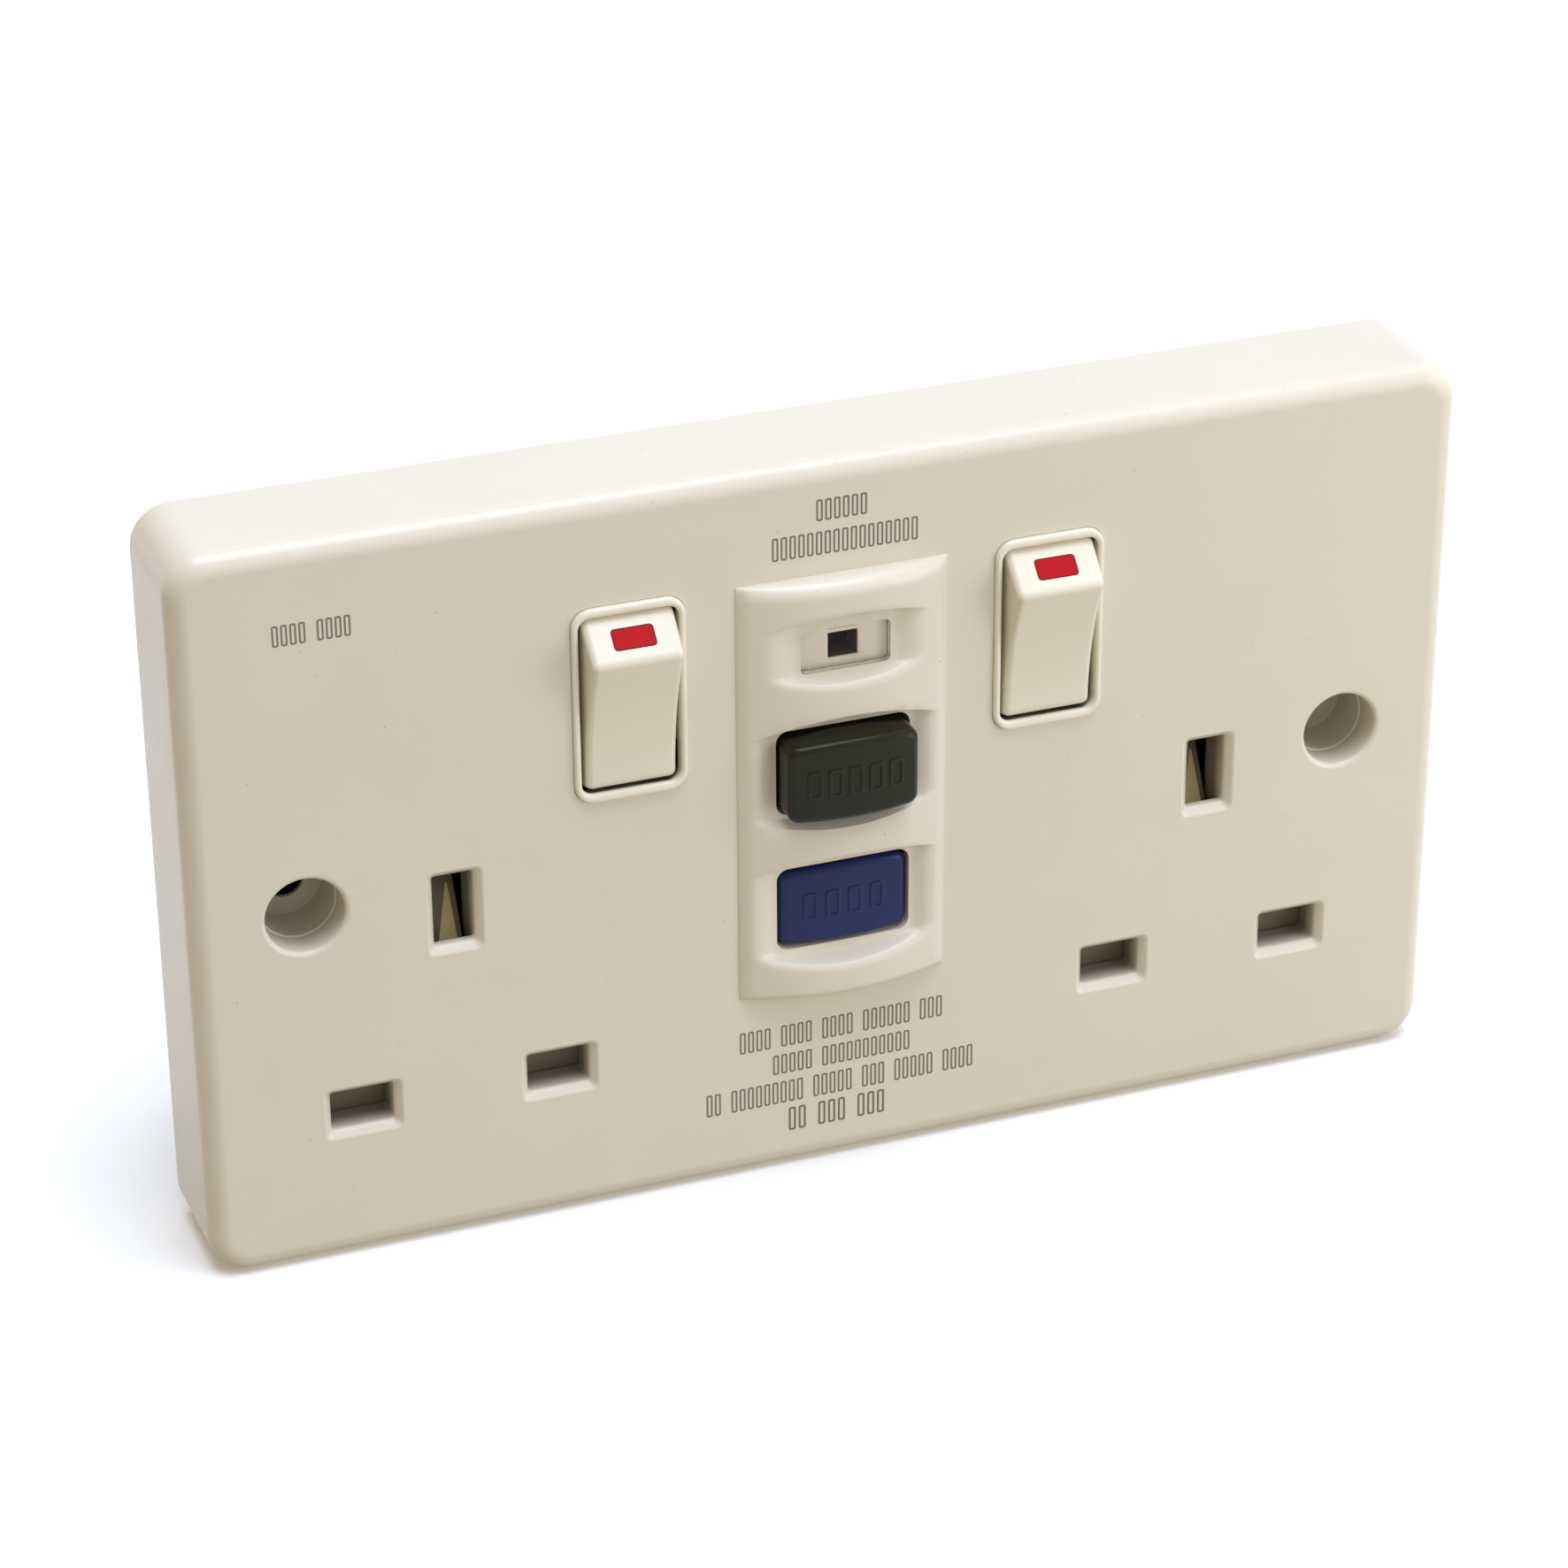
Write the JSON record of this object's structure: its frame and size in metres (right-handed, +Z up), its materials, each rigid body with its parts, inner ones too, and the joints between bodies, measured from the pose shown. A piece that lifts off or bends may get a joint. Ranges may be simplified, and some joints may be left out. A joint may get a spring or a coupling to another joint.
{
  "type": "switched socket outlet",
  "caption": "Twin switched wall socket with residual current protection: two rockers, reset and test buttons, indicator window, shuttered pin holes.",
  "frame": {"origin": "centre of the plate back rim, on the wall plane", "axes": "+Z up on the wall, -Y out of the wall towards the user, +X to the right seen from the front"},
  "size_m": [0.146, 0.0436, 0.086],
  "materials": {
    "plate_plastic": "glossy moulded urea, warm white",
    "switch_plastic": "glossy moulding, paler cream",
    "grey_plastic": "satin moulding",
    "shutter_plastic": "natural tan nylon, satin",
    "dark_plastic": "dark moulding",
    "green_button": "dark olive green moulding, semi-gloss",
    "blue_button": "dark blue moulding, semi-gloss",
    "clear_plastic": "clear moulding",
    "brass": "pressed brass",
    "copper": "pressed copper and enamelled wire",
    "steel": "zinc-plated steel",
    "board_laminate": "green glass-fibre laminate",
    "core_ferrite": "taped ring core",
    "capacitor_sleeve": "sleeved can"
  },
  "bodies": {
    "housing": {"front_plate": "plate_plastic", "indicator_surround": "plate_plastic", "switch_frame_left": "switch_plastic", "switch_frame_right": "switch_plastic", "rear_housing": "grey_plastic", "mechanism_plate": "grey_plastic", "coil_bobbin": "dark_plastic", "control_chip": "dark_plastic", "indicator_window": "clear_plastic", "earth_strap": "brass", "test_contact": "brass", "live_contact_left": "brass", "neutral_contact_left": "brass", "live_contact_right": "brass", "neutral_contact_right": "brass", "terminal_live": "brass", "terminal_neutral": "brass", "terminal_earth": "brass", "live_supply_bar": "copper", "neutral_supply_bar": "copper", "live_load_bar": "copper", "neutral_load_bar": "copper", "coil_winding": "copper", "switched_live_left": "copper", "switched_live_right": "copper", "coil_frame": "steel", "plunger_spring": "steel", "reset_spring": "steel", "test_spring": "steel", "housing_screw_1": "steel", "housing_screw_2": "steel", "housing_screw_3": "steel", "housing_screw_4": "steel", "terminal_screw_live": "steel", "terminal_screw_neutral": "steel", "terminal_screw_earth": "steel", "shutter_spring_left": "steel", "shutter_spring_right": "steel", "circuit_board": "board_laminate", "sensing_toroid": "core_ferrite", "capacitor": "capacitor_sleeve"},
    "rocker_left": {"rocker_left": "switch_plastic", "rocker_plunger_left": "dark_plastic", "rocker_spring_left": "steel"},
    "switch_blade_left": {"switch_blade_left": "copper"},
    "shutter_left": {"shutter_left": "shutter_plastic"},
    "rocker_right": {"rocker_right": "switch_plastic", "rocker_plunger_right": "dark_plastic", "rocker_spring_right": "steel"},
    "switch_blade_right": {"switch_blade_right": "copper"},
    "shutter_right": {"shutter_right": "shutter_plastic"},
    "reset_button": {"reset_button": "green_button"},
    "contact_carriage": {"contact_carriage": "dark_plastic", "moving_contact_live": "copper", "moving_contact_neutral": "copper"},
    "indicator_flag": {"indicator_flag": "dark_plastic"},
    "test_button": {"test_button": "blue_button"},
    "coil_plunger": {"coil_plunger": "steel"},
    "trip_latch": {"trip_latch": "steel"}
  },
  "joints": [
    {"name": "rocker_left_pivot", "type": "hinge", "parent": "housing", "child": "rocker_left", "pos_m": [-0.024, -0.00947, 0.019], "axis": [1, 0, 0], "range_deg": [-25.5, 0]},
    {"name": "switch_blade_left_pivot", "type": "hinge", "parent": "housing", "child": "switch_blade_left", "pos_m": [-0.024, 0.0019, 0.019], "axis": [1, 0, 0], "range_deg": [0, 16.1]},
    {"name": "shutter_left_slide", "type": "slide", "parent": "housing", "child": "shutter_left", "axis": [0, 0, -1], "range_m": [0, 0.0052], "stiffness_N_per_m": 100, "springref_m": -0.003, "deforming": ["shutter_spring_left"]},
    {"name": "rocker_right_pivot", "type": "hinge", "parent": "housing", "child": "rocker_right", "pos_m": [0.024, -0.00947, 0.019], "axis": [1, 0, 0], "range_deg": [-25.5, 0]},
    {"name": "switch_blade_right_pivot", "type": "hinge", "parent": "housing", "child": "switch_blade_right", "pos_m": [0.024, 0.0019, 0.019], "axis": [1, 0, 0], "range_deg": [0, 16.1]},
    {"name": "shutter_right_slide", "type": "slide", "parent": "housing", "child": "shutter_right", "axis": [0, 0, -1], "range_m": [0, 0.0052], "stiffness_N_per_m": 100, "springref_m": -0.003, "deforming": ["shutter_spring_right"]},
    {"name": "reset_button_slide", "type": "slide", "parent": "housing", "child": "reset_button", "axis": [0, 1, 0], "range_m": [0, 0.0028], "stiffness_N_per_m": 400, "springref_m": -0.002, "deforming": ["reset_spring"]},
    {"name": "contact_carriage_slide", "type": "slide", "parent": "housing", "child": "contact_carriage", "axis": [0, 1, 0], "range_m": [0, 0.0029]},
    {"name": "indicator_flag_slide", "type": "slide", "parent": "housing", "child": "indicator_flag", "axis": [0, 0, 1], "range_m": [0, 0.0036]},
    {"name": "test_button_slide", "type": "slide", "parent": "housing", "child": "test_button", "axis": [0, 1, 0], "range_m": [0, 0.0012], "stiffness_N_per_m": 400, "springref_m": -0.002, "deforming": ["test_spring"]},
    {"name": "coil_plunger_slide", "type": "slide", "parent": "housing", "child": "coil_plunger", "axis": [-1, 0, 0], "range_m": [0, 0.002], "stiffness_N_per_m": 150, "springref_m": -0.002, "deforming": ["plunger_spring"]},
    {"name": "trip_latch_pivot", "type": "hinge", "parent": "housing", "child": "trip_latch", "pos_m": [0.0134, 0, -0.012], "axis": [0, 1, 0], "range_deg": [0, 9.6]}
  ],
  "couplings": [
    {"joint": "switch_blade_left_pivot", "follows": "rocker_left_pivot", "ratio": -0.62745},
    {"joint": "switch_blade_right_pivot", "follows": "rocker_right_pivot", "ratio": -0.62745},
    {"joint": "contact_carriage_slide", "follows": "reset_button_slide", "ratio": 1},
    {"joint": "indicator_flag_slide", "follows": "reset_button_slide", "ratio": 1.25},
    {"joint": "trip_latch_pivot", "follows": "coil_plunger_slide", "rad_per_m": 82.9}
  ]
}
